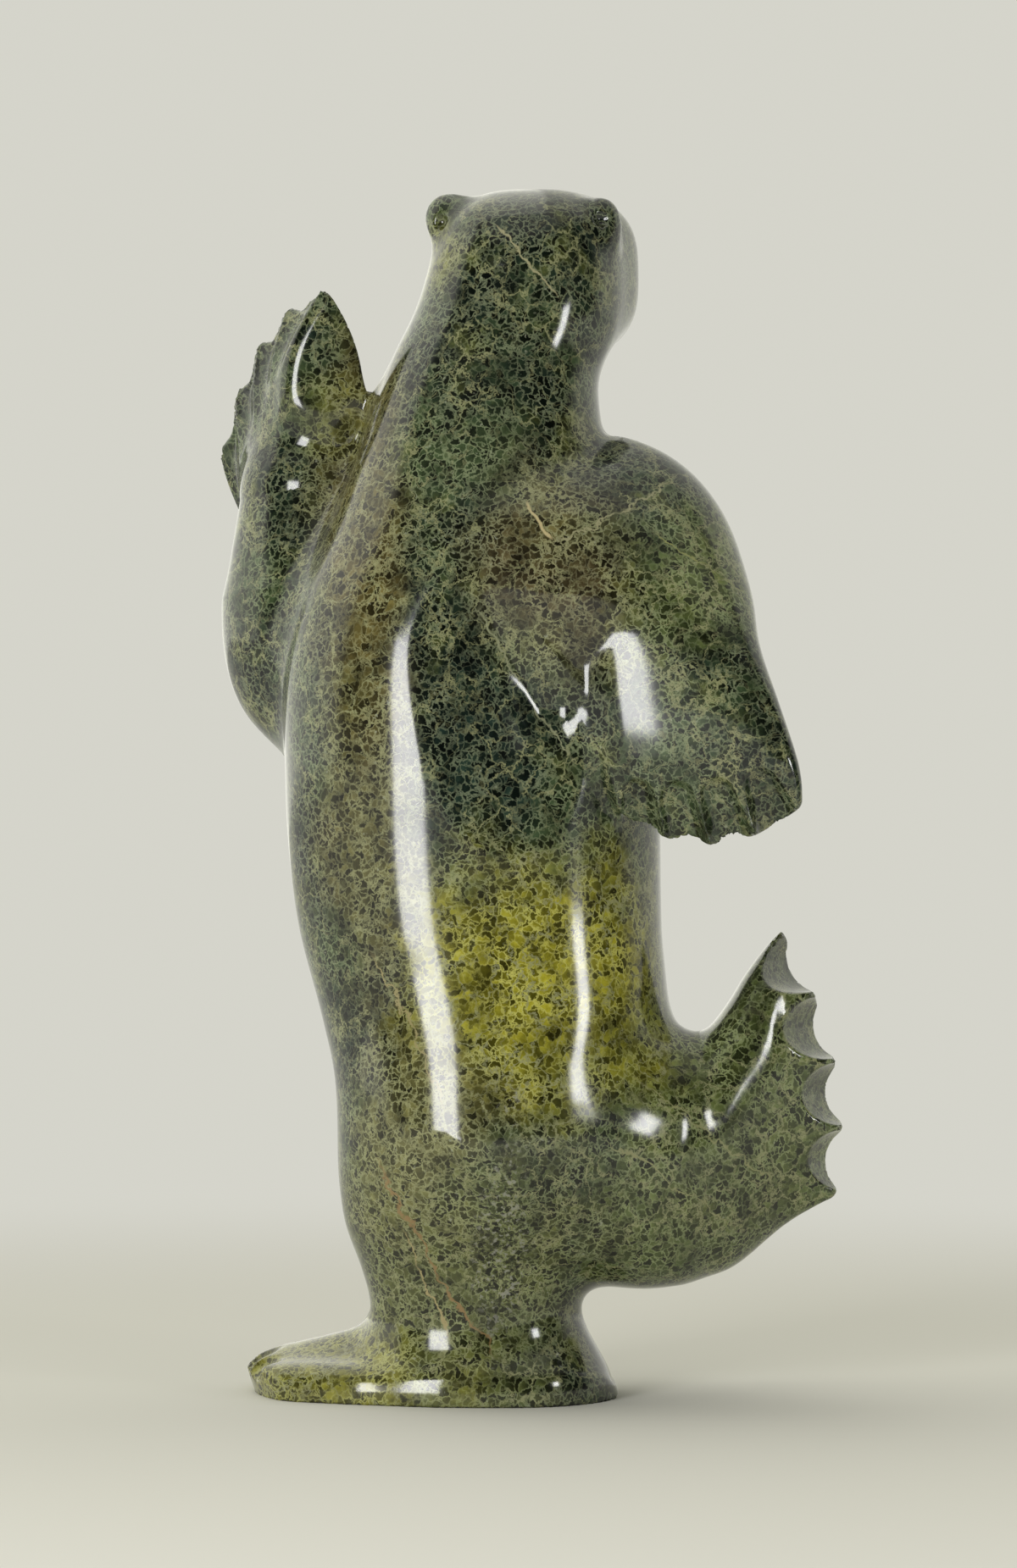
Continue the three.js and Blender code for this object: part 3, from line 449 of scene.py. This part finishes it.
def refine(points, triangles, bend, shortest):
    # edges across which the stone bends sharply are halved, so that ridges and claws stay crisp
    g = inPieces(steepest, points)
    normals = g / np.maximum(length(g), 1e-9)[:, None]
    ends = np.sort(triangles[:, [0, 1, 1, 2, 2, 0]].reshape(-1, 2), 1)
    pairs, which = np.unique(ends, axis=0, return_inverse=True)
    which = which.reshape(-1, 3)
    a, b = pairs.T
    turned = (normals[a] * normals[b]).sum(-1) < math.cos(math.radians(bend))
    chosen = turned & (length(points[a] - points[b]) > 2 * shortest)
    newIndex = np.full(len(pairs), -1)
    newIndex[chosen] = len(points) + np.arange(chosen.sum())
    middles = settle((points[a[chosen]] + points[b[chosen]]) / 2, 2, shortest)
    points = np.concatenate([points, middles])
    m = newIndex[which]
    count = (m >= 0).sum(1)
    done = [triangles[count == 0]]
    roll = lambda rows, by: np.take_along_axis(rows, (np.arange(3) + by[:, None]) % 3, 1)
    one = count == 1
    by = np.argmax(m[one] >= 0, 1)
    t, n = roll(triangles[one], by), roll(m[one], by)
    done += [np.stack([t[:, 0], n[:, 0], t[:, 2]], 1), np.stack([n[:, 0], t[:, 1], t[:, 2]], 1)]
    two = count == 2
    by = np.argmax(m[two] < 0, 1) + 1
    t, n = roll(triangles[two], by), roll(m[two], by)
    done += [np.stack([n[:, 0], t[:, 1], n[:, 1]], 1), np.stack([t[:, 0], n[:, 0], n[:, 1]], 1),
             np.stack([t[:, 0], n[:, 1], t[:, 2]], 1)]
    three = count == 3
    t, n = triangles[three], m[three]
    done += [np.stack([t[:, 0], n[:, 0], n[:, 2]], 1), np.stack([n[:, 0], t[:, 1], n[:, 1]], 1),
             np.stack([n[:, 2], n[:, 1], t[:, 2]], 1), n]
    return points, np.concatenate(done)


# the box that is walked and its cells in mm; an edge that bends by more degrees is halved
skinSettings = {
    "low": (-104, -72, -3.9), "high": (120, 120, 408),
    "cell": 2.3, "quickCell": 3.4,
    "rounds": 2, "bend": 10, "shortest": 0.7,
    "soleTouch": 0.5, "settleSteps": 3, "normalStep": 0.15, "soleFacing": -0.7,
}


def makeBear():
    cell = skinSettings["cell"]
    points, triangles = walkSkin(bearDistance, skinSettings["low"], skinSettings["high"], cell)
    points = settle(points, skinSettings["settleSteps"], cell / 2)
    print("skin walked:", len(triangles), "triangles")
    for _ in range(skinSettings["rounds"]):
        points, triangles = refine(points, triangles, skinSettings["bend"], skinSettings["shortest"])
    points[points[:, 2] < skinSettings["soleTouch"], 2] = 0
    print("skin refined:", len(triangles), "triangles")
    g = inPieces(lambda p: steepest(p, skinSettings["normalStep"]), points)
    normals = g / np.maximum(length(g), 1e-9)[:, None]
    data = bpy.data.meshes.new("bearSkin")
    data.from_pydata((points / 1000).tolist(), [], triangles.tolist())
    data.polygons.foreach_set("use_smooth", np.ones(len(triangles), bool))
    data.update()
    normals[(points[:, 2] == 0) & (normals[:, 2] < skinSettings["soleFacing"])] = (0, 0, -1)
    data.normals_split_custom_set_from_vertices(normals.tolist())
    made = bpy.data.objects.new("bearCarving", data)
    bpy.context.scene.collection.objects.link(made)
    return made


# colours of the stone; scales count per metre, the pushes are in metres
stone = {
    "deep": (0.006, 0.011, 0.007), "green": (0.026, 0.039, 0.016), "olive": (0.072, 0.078, 0.020),
    "web": (0.25, 0.27, 0.16), "wideWeb": (0.30, 0.29, 0.12), "fleck": (0.30, 0.32, 0.22),
    "roughness": 0.12, "ior": 1.56,
    "cells": 400, "webEdge": 0.15, "webPush": 0.0064,
    "wideCells": 110, "wideEdge": 0.055, "widePush": 0.01088,
    "patchWobble": 2.4, "webTint": 0.45, "webLift": 5, "wideTint": 0.5,
    "grainPower": 1.6, "grainSpread": 1.7, "grainLeast": 0.3,
}
# each noise: scale, detail, roughness; then how far it is shifted to differ from the others
mottle = {
    "broad": (26, 5, 0.62), "fine": (190, 4, 0.65), "olive": (55, 5, 0.65), "patchy": (75, 4, 0.65),
    "flecks": (620, 2, 0.5), "oliveShift": (3.1, 1.7, 0.4), "patchyShift": (0.7, 2.3, 5.1),
}
# each ramp: from, to, share at the first, share at the second
ramps = {
    "green": (0.4, 0.62, 0, 1), "olive": (0.5, 0.72, 0, 0.75), "shade": (0.3, 0.7, 0.45, 1.5),
    "web": (0.34, 0.62, 0.2, 1.0), "wideWeb": (0.40, 0.58, 0.15, 0.9),
    "fleckSize": (0.66, 0.74, 0, 1), "fleckPlace": (0.45, 0.6, 0.1, 0.7),
    "darkSpeck": (0.47, 0.41, 0, 0.7), "paleSpeck": (0.56, 0.66, 0, 0.8), "broken": (0.32, 0.5, 0.25, 0.95),
}
# places of another colour, one of them partly painted shade: centre and half size in mm, colour, strength and
# softness of the edge
patches = [
    {"at": (-48, -20, 290), "half": (15, 60, 70), "colour": (0.066, 0.050, 0.015), "share": 0.7, "soft": 1.0},
    {"at": (-46, -30, 200), "half": (15, 60, 70), "colour": (0.064, 0.052, 0.016), "share": 0.65, "soft": 1.0},
    {"at": (16, -48, 272), "half": (26, 30, 30), "colour": (0.070, 0.050, 0.020), "share": 0.6, "soft": 1.2},
    # partly painted shade: the blue-green tint of this place in the middle of the back is the stone's, and its
    # darkness is painted shade of the shallow dip there
    {"at": (-6, -50, 208), "half": (22, 30, 40), "colour": (0.006, 0.013, 0.011), "share": 0.85, "soft": 0.9},
    {"at": (66, -20, 96), "half": (50, 50, 60), "colour": (0.066, 0.080, 0.022), "share": 0.6, "soft": 1.0},
    {"at": (-20, -40, 40), "half": (40, 50, 60), "colour": (0.070, 0.074, 0.020), "share": 0.6, "soft": 1.0},
    {"at": (14, -50, 140), "half": (40, 44, 36), "colour": (0.165, 0.152, 0.013), "share": 0.95, "soft": 1.0},
    {"at": (-28, -40, 88), "half": (26, 40, 30), "colour": (0.080, 0.074, 0.028), "share": 0.7, "soft": 1.0},
    {"at": (-66, 0, 8), "half": (46, 60, 18), "colour": (0.130, 0.122, 0.016), "share": 0.75, "soft": 1.0},
    {"at": (62, -30, 262), "half": (28, 30, 26), "colour": (0.068, 0.084, 0.022), "share": 0.6, "soft": 1.0},
    {"at": (-60, 20, 326), "half": (12, 16, 14), "colour": (0.100, 0.100, 0.022), "share": 0.55, "soft": 1.1},
    {"at": (-24, 0, 378), "half": (8, 20, 12), "colour": (0.100, 0.100, 0.016), "share": 0.7, "soft": 1.0},
]
speckled = {
    "at": (-2, -42, 60), "half": (8, 30, 36), "soft": 0.8,
    "pale": (0.28, 0.28, 0.23), "dark": (0.006, 0.006, 0.005),
}
# long veins: both ends in mm across and up, half width in mm, colour and how far they wander
veinShape = {"outer": 1.6, "inner": 0.4, "fadeFrom": 0.7, "broadWander": 2, "fineWander": 0.5, "wanderMiddle": -1.25}
veins = [
    {"ends": ((-46, 82), (-4, 14)), "width": 0.5, "colour": (0.26, 0.17, 0.07), "wave": 13},
    {"ends": ((14, 276), (56, 304)), "width": 0.3, "colour": (0.30, 0.29, 0.16), "wave": 11},
    {"ends": ((-5, 388), (17, 360)), "width": 0.3, "colour": (0.34, 0.32, 0.18), "wave": 7},
    {"ends": ((5, 294), (14, 280)), "width": 0.5, "colour": (0.50, 0.42, 0.22), "wave": 4},
    {"ends": ((-36, 60), (-18, 20)), "width": 0.3, "colour": (0.36, 0.30, 0.14), "wave": 9},
    {"ends": ((40, 112), (92, 70)), "width": 0.3, "colour": (0.26, 0.26, 0.12), "wave": 11},
    {"ends": ((30, 90), (76, 56)), "width": 0.3, "colour": (0.26, 0.26, 0.12), "wave": 11},
    {"ends": ((-44, 150), (-20, 96)), "width": 0.3, "colour": (0.30, 0.26, 0.12), "wave": 11},
    {"ends": ((-10, 262), (22, 206)), "width": 0.35, "colour": (0.26, 0.27, 0.16), "wave": 9},
    {"ends": ((46, 284), (78, 262)), "width": 0.3, "colour": (0.26, 0.27, 0.10), "wave": 9},
]


class Graph:
    # short ways to add shader nodes
    def __init__(self, owner):
        owner.use_nodes = True
        self.tree = owner.node_tree
        self.tree.nodes.clear()

    def node(self, kind, settings=None, **inputs):
        made = self.tree.nodes.new(kind)
        for key, value in (settings or {}).items():
            setattr(made, key, value)
        for key, value in inputs.items():
            self.put(made.inputs[key.replace("_", " ")], value)
        return made

    def put(self, socket, value):
        if isinstance(value, bpy.types.NodeSocket):
            self.tree.links.new(value, socket)
        elif value is not None:
            if hasattr(socket.default_value, "__len__") and len(value) == 3 and len(socket.default_value) == 4:
                value = (*value, 1)
            socket.default_value = value

    def maths(self, kind, a, b=None, c=None):
        made = self.tree.nodes.new("ShaderNodeMath")
        made.operation = kind
        for socket, value in zip(made.inputs, (a, b, c)):
            self.put(socket, value)
        return made.outputs[0]

    def vector(self, kind, a, b=None, scale=None):
        made = self.tree.nodes.new("ShaderNodeVectorMath")
        made.operation = kind
        self.put(made.inputs[0], a)
        self.put(made.inputs[1], b)
        if scale is not None:
            self.put(made.inputs["Scale"], scale)
        return made.outputs["Value" if kind in ("LENGTH", "DOT_PRODUCT", "DISTANCE") else "Vector"]

    def ramp(self, value, low, high, start=0.0, end=1.0):
        made = self.tree.nodes.new("ShaderNodeMapRange")
        made.interpolation_type = "SMOOTHSTEP"
        for socket, v in zip(made.inputs, (value, low, high, start, end)):
            self.put(socket, v)
        return made.outputs[0]

    def mix(self, share, a, b):
        made = self.tree.nodes.new("ShaderNodeMix")
        made.data_type = "RGBA"
        self.put(made.inputs[0], share)
        self.put(made.inputs[6], a)
        self.put(made.inputs[7], b)
        return made.outputs[2]

    def noise(self, at, grain):
        scale, detail, roughness = grain
        return self.node("ShaderNodeTexNoise", Vector=at, Scale=scale, Detail=detail, Roughness=roughness)


def nearPlace(g, at, centre, half, wobble, softness=0.5):
    # 1 at the centre of an uneven egg-shaped patch, 0 outside it; sizes in millimetres
    offset = g.vector("SUBTRACT", at, tuple(v / 1000 for v in centre))
    scaled = g.vector("DIVIDE", offset, tuple(v / 1000 for v in half))
    reach = g.maths("ADD", g.vector("LENGTH", scaled), wobble)
    return g.ramp(reach, 1 + softness / 2, 1 - softness / 2)


def addVein(g, at, colour, vein, wander, broken):
    # a thin sheet through the stone, which shows as a wandering line on the skin
    (x0, z0), (x1, z1) = vein["ends"]
    size = math.hypot(x1 - x0, z1 - z0)
    along, across = ((x1 - x0) / size, 0, (z1 - z0) / size), ((z0 - z1) / size, 0, (x1 - x0) / size)
    offset = g.vector("SUBTRACT", at, (x0 / 1000, 0, z0 / 1000))
    off = g.maths("MULTIPLY_ADD", wander, vein["wave"] / 1000, g.vector("DOT_PRODUCT", offset, across))
    width = vein["width"] / 1000
    line = g.ramp(g.maths("ABSOLUTE", off), width * veinShape["outer"], width * veinShape["inner"])
    half = size / 2000
    away = g.maths("ABSOLUTE", g.maths("SUBTRACT", g.vector("DOT_PRODUCT", offset, along), half))
    ends = g.ramp(away, half, half * veinShape["fadeFrom"])
    return g.mix(g.maths("MULTIPLY", g.maths("MULTIPLY", line, ends), broken), colour, vein["colour"])


def makeStone():
    material = bpy.data.materials.new("serpentine")
    g = Graph(material)
    at = g.node("ShaderNodeTexCoord").outputs["Object"]
    broad = g.noise(at, mottle["broad"]).outputs["Color"]
    fine = g.noise(at, mottle["fine"])
    olive = g.noise(g.vector("ADD", at, mottle["oliveShift"]), mottle["olive"]).outputs["Fac"]
    patchy = g.noise(g.vector("ADD", at, mottle["patchyShift"]), mottle["patchy"]).outputs["Fac"]
    flecks = g.noise(at, mottle["flecks"]).outputs["Fac"]
    edgeNoise, greenNoise, wanderNoise = g.node("ShaderNodeSeparateColor", Color=broad).outputs
    wobble = g.maths("MULTIPLY", g.maths("SUBTRACT", edgeNoise, 0.5), stone["patchWobble"])

    # the ground colour and the patches in it, one of them partly painted shade
    base = g.mix(g.ramp(greenNoise, *ramps["green"]), stone["deep"], stone["green"])
    base = g.mix(g.ramp(olive, *ramps["olive"]), base, stone["olive"])
    for patch in patches:
        near = nearPlace(g, at, patch["at"], patch["half"], wobble, patch["soft"])
        base = g.mix(g.maths("MULTIPLY", near, patch["share"]), base, patch["colour"])

    # cells of uneven shade, and the pale web between them
    pushed = g.vector("SUBTRACT", fine.outputs["Color"], (0.5, 0.5, 0.5))
    warped = g.vector("ADD", at, g.vector("SCALE", pushed, scale=stone["webPush"]))
    warpedWide = g.vector("ADD", at, g.vector("SCALE", pushed, scale=stone["widePush"]))
    cells = g.node("ShaderNodeTexVoronoi", {"feature": "F1"}, Vector=warped, Scale=stone["cells"])
    edgeKind = {"feature": "DISTANCE_TO_EDGE"}
    web = g.node("ShaderNodeTexVoronoi", edgeKind, Vector=warped, Scale=stone["cells"]).outputs["Distance"]
    wide = g.node("ShaderNodeTexVoronoi", edgeKind, Vector=warpedWide, Scale=stone["wideCells"]).outputs["Distance"]
    grain = g.node("ShaderNodeSeparateColor", Color=cells.outputs["Color"]).outputs[0]
    grain = g.maths("MULTIPLY_ADD", g.maths("POWER", grain, stone["grainPower"]), stone["grainSpread"],
                    stone["grainLeast"])
    shade = g.maths("MULTIPLY", grain, g.ramp(fine.outputs["Fac"], *ramps["shade"]))
    webShare = g.maths("MULTIPLY", g.ramp(web, stone["webEdge"], 0.0), g.ramp(patchy, *ramps["web"]))
    webColour = g.mix(stone["webTint"], stone["web"], g.vector("SCALE", base, scale=stone["webLift"]))
    colour = g.mix(webShare, g.vector("SCALE", base, scale=shade), webColour)
    wideShare = g.maths("MULTIPLY", g.ramp(wide, stone["wideEdge"], 0.0), g.ramp(olive, *ramps["wideWeb"]))
    colour = g.mix(wideShare, colour, g.mix(stone["wideTint"], stone["web"], stone["wideWeb"]))
    fleckShare = g.maths("MULTIPLY", g.ramp(flecks, *ramps["fleckSize"]), g.ramp(patchy, *ramps["fleckPlace"]))
    colour = g.mix(fleckShare, colour, stone["fleck"])

    # the speckled place above the ankle, and the long veins
    near = nearPlace(g, at, speckled["at"], speckled["half"], wobble, speckled["soft"])
    for speck, name in (("darkSpeck", "dark"), ("paleSpeck", "pale")):
        colour = g.mix(g.maths("MULTIPLY", near, g.ramp(flecks, *ramps[speck])), colour, speckled[name])
    fineWander = g.maths("MULTIPLY_ADD", fine.outputs["Fac"], veinShape["fineWander"], veinShape["wanderMiddle"])
    wander = g.maths("MULTIPLY_ADD", wanderNoise, veinShape["broadWander"], fineWander)
    broken = g.ramp(patchy, *ramps["broken"])
    for vein in veins:
        colour = addVein(g, at, colour, vein, wander, broken)

    skin = g.node("ShaderNodeBsdfPrincipled")
    g.put(skin.inputs["Base Color"], colour)
    g.put(skin.inputs["Roughness"], stone["roughness"])
    g.put(skin.inputs["IOR"], stone["ior"])
    g.put(g.node("ShaderNodeOutputMaterial").inputs["Surface"], skin.outputs[0])
    return material


bear = makeBear()
bear.data.materials.append(makeStone())
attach(bear, bodyName)
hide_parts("bear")
print("bear made")

# the floor and backdrop, in metres and as the shader takes colours, and the camera
setting = {
    "floorColour": (0.74, 0.73, 0.67), "floorHalf": 6.0, "fadeStart": 0.25, "fadeEnd": 0.9,
    "backdrop": (0.665, 0.660, 0.596), "lightsAim": (0, 0, 0.2),
    "camera": (0, -1.8, 0.2037), "lens": 124.98, "shiftY": -0.003,
}
# brightness of the room by direction, in degrees from the side the camera stands on
room = {
    "front": 0.03, "left": 2.0, "leftFrom": -70, "leftFull": -88, "right": 1.2, "rightFrom": 84, "rightFull": 112,
    "above": 0.9, "aboveFrom": 0.55, "aboveFull": 0.95,
}
# each softbox: degrees round from the camera, height, distance and size in metres, power in watts
lights = {
    "leftSoftbox": {"azimuth": -30, "height": 0.36, "far": 1.5, "size": (0.46, 0.74), "power": 14},
    "rightSoftbox": {"azimuth": 52, "height": 0.36, "far": 1.5, "size": (0.20, 0.26), "power": 2.6},
}


def makeFloor():
    half = setting["floorHalf"]
    data = bpy.data.meshes.new("floorPlane")
    data.from_pydata([(-half, -half, 0), (half, -half, 0), (half, half, 0), (-half, half, 0)], [], [(0, 1, 2, 3)])
    made = bpy.data.objects.new("floor", data)
    bpy.context.scene.collection.objects.link(made)
    material = bpy.data.materials.new("paleFloor")
    g = Graph(material)
    skin = g.node("ShaderNodeBsdfDiffuse", Color=setting["floorColour"])
    glow = g.node("ShaderNodeEmission", Color=setting["backdrop"])
    away = g.vector("LENGTH", g.node("ShaderNodeTexCoord").outputs["Object"])
    both = g.node("ShaderNodeMixShader")
    g.put(both.inputs[0], g.ramp(away, setting["fadeStart"], setting["fadeEnd"]))
    g.put(both.inputs[1], skin.outputs[0])
    g.put(both.inputs[2], glow.outputs[0])
    g.put(g.node("ShaderNodeOutputMaterial").inputs["Surface"], both.outputs[0])
    data.materials.append(material)
    return made


def makeWorld():
    # the room is dark behind the camera and pale at the sides; the backdrop that shows is even
    world = bpy.data.worlds.new("paleRoom")
    bpy.context.scene.world = world
    g = Graph(world)
    x, y, z = g.node("ShaderNodeSeparateXYZ", Vector=g.node("ShaderNodeTexCoord").outputs["Generated"]).outputs
    turn = g.maths("ARCTAN2", x, g.maths("MULTIPLY", y, -1))
    left = g.ramp(turn, math.radians(room["leftFrom"]), math.radians(room["leftFull"]), 0, room["left"])
    right = g.ramp(turn, math.radians(room["rightFrom"]), math.radians(room["rightFull"]), 0, room["right"])
    above = g.ramp(z, room["aboveFrom"], room["aboveFull"], 0, room["above"])
    total = g.maths("ADD", g.maths("MAXIMUM", g.maths("MAXIMUM", left, right), above), room["front"])
    lit = g.node("ShaderNodeBackground", Color=setting["backdrop"], Strength=total)
    seen = g.node("ShaderNodeBackground", Color=setting["backdrop"])
    both = g.node("ShaderNodeMixShader")
    g.put(both.inputs[0], g.node("ShaderNodeLightPath").outputs["Is Camera Ray"])
    g.put(both.inputs[1], lit.outputs[0])
    g.put(both.inputs[2], seen.outputs[0])
    g.put(g.node("ShaderNodeOutputWorld").inputs["Surface"], both.outputs[0])


def makeLights():
    for name, s in lights.items():
        data = bpy.data.lights.new(name, "AREA")
        data.shape, data.energy = "RECTANGLE", s["power"]
        data.size, data.size_y = s["size"]
        made = bpy.data.objects.new(name, data)
        a = math.radians(s["azimuth"])
        made.location = (s["far"] * math.sin(a), -s["far"] * math.cos(a), s["height"])
        made.rotation_euler = (Vector(setting["lightsAim"]) - made.location).to_track_quat("-Z", "Y").to_euler()
        bpy.context.scene.collection.objects.link(made)


def makeCamera():
    data = bpy.data.cameras.new("camera")
    data.lens, data.sensor_width, data.shift_y = setting["lens"], 36, setting["shiftY"]
    data.clip_start, data.clip_end = 0.05, 50
    made = bpy.data.objects.new("camera", data)
    made.location = setting["camera"]
    made.rotation_euler = (math.radians(90), 0, 0)
    bpy.context.scene.collection.objects.link(made)
    bpy.context.scene.camera = made


bpy.context.scene.view_settings.view_transform = "Standard"
floor = makeFloor()
makeWorld()
makeLights()
makeCamera()
print("setting made")
